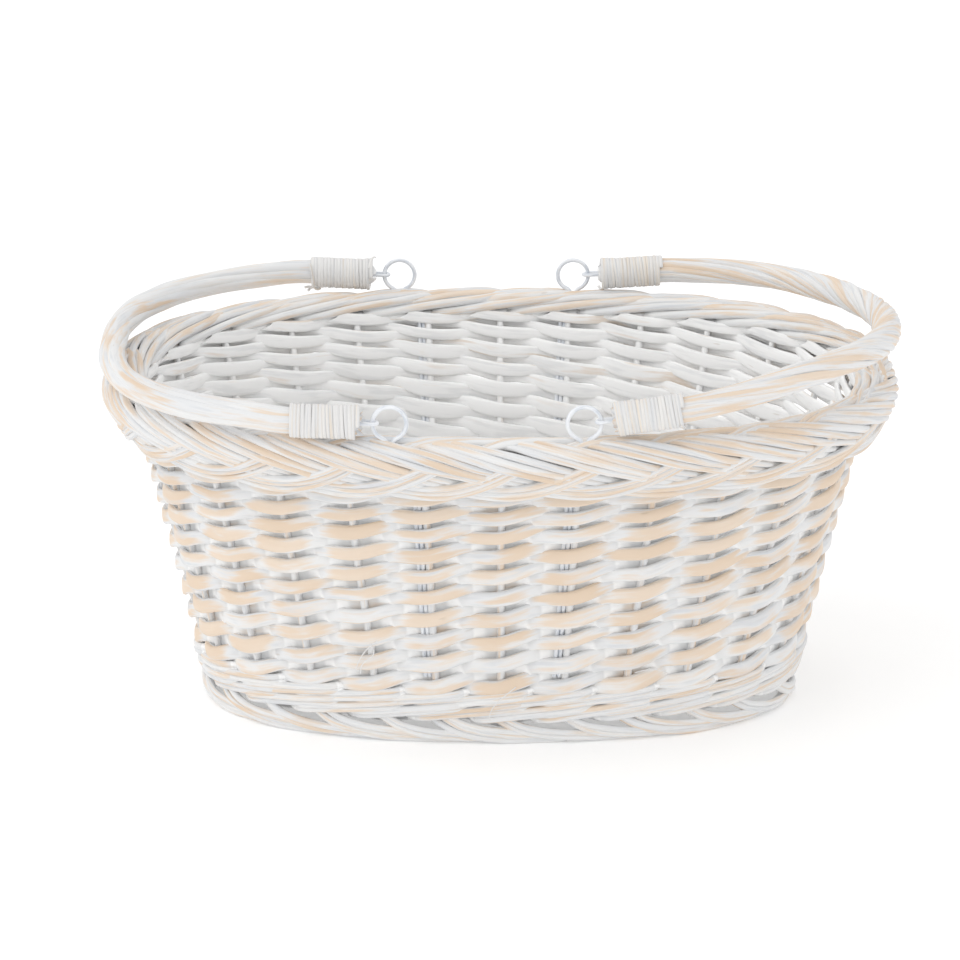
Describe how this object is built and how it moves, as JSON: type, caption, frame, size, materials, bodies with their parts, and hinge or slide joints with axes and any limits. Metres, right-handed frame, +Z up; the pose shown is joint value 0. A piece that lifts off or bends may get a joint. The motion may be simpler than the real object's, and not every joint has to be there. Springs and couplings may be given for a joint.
{
  "type": "woven willow market basket",
  "caption": "Oval woven willow market basket with a plaited rim and two roped drop handles that swing on wire rings.",
  "frame": {"origin": "bottom centre of the bounding box, on the ground under the middle of the basket", "axes": "+X along the length, from the left handle to the right handle; +Y across the width, towards the back; +Z up"},
  "size_m": [0.4539, 0.3327, 0.2314],
  "materials": {
    "willow": "worn matt whitewash over peeled willow",
    "cane": "matt whitewashed split cane",
    "wire": "dull off-white painted steel wire"
  },
  "bodies": {
    "basket": {"base_cross_sticks": "willow", "base_long_sticks": "willow", "base_weave_rods": "willow", "side_stakes": "willow", "foot_border_rods": "willow", "lower_wale_rod_1": "willow", "lower_wale_rod_2": "willow", "upper_wale_rod_1": "willow", "upper_wale_rod_2": "willow", "wall_weaver_01": "willow", "wall_weaver_02": "willow", "wall_weaver_03": "willow", "wall_weaver_04": "willow", "wall_weaver_05": "willow", "wall_weaver_06": "willow", "wall_weaver_07": "willow", "wall_weaver_08": "willow", "wall_weaver_09": "willow", "wall_weaver_10": "willow", "wall_weaver_11": "willow", "wall_weaver_12": "willow", "wall_weaver_13": "willow", "wall_weaver_14": "willow", "wall_weaver_15": "willow", "wall_weaver_16": "willow", "wall_weaver_17": "willow", "wall_weaver_18": "willow", "wall_weaver_19": "willow", "wall_weaver_20": "willow", "wall_weaver_21": "willow", "wall_weaver_22": "willow", "wall_weaver_23": "willow", "wall_weaver_24": "willow", "wall_weaver_25": "willow", "wall_weaver_26": "willow", "border_plait_strands": "willow", "ring_hanger_left_front": "wire", "ring_hanger_left_back": "wire", "ring_hanger_right_front": "wire", "ring_hanger_right_back": "wire"},
    "handle_left": {"handle_left_core_rod": "willow", "handle_left_twisted_rods": "willow", "handle_left_eye_front": "wire", "handle_left_binding_front": "cane", "handle_left_eye_back": "wire", "handle_left_binding_back": "cane"},
    "handle_right": {"handle_right_core_rod": "willow", "handle_right_twisted_rods": "willow", "handle_right_eye_front": "wire", "handle_right_binding_front": "cane", "handle_right_eye_back": "wire", "handle_right_binding_back": "cane"}
  },
  "joints": [
    {"name": "handle_left_swing", "type": "hinge", "parent": "basket", "child": "handle_left", "pos_m": [-0.06, 0, 0.2046], "axis": [0, 1, 0], "range_deg": [0, 104]},
    {"name": "handle_right_swing", "type": "hinge", "parent": "basket", "child": "handle_right", "pos_m": [0.0445, 0, 0.2046], "axis": [0, -1, 0], "range_deg": [0, 100]}
  ]
}
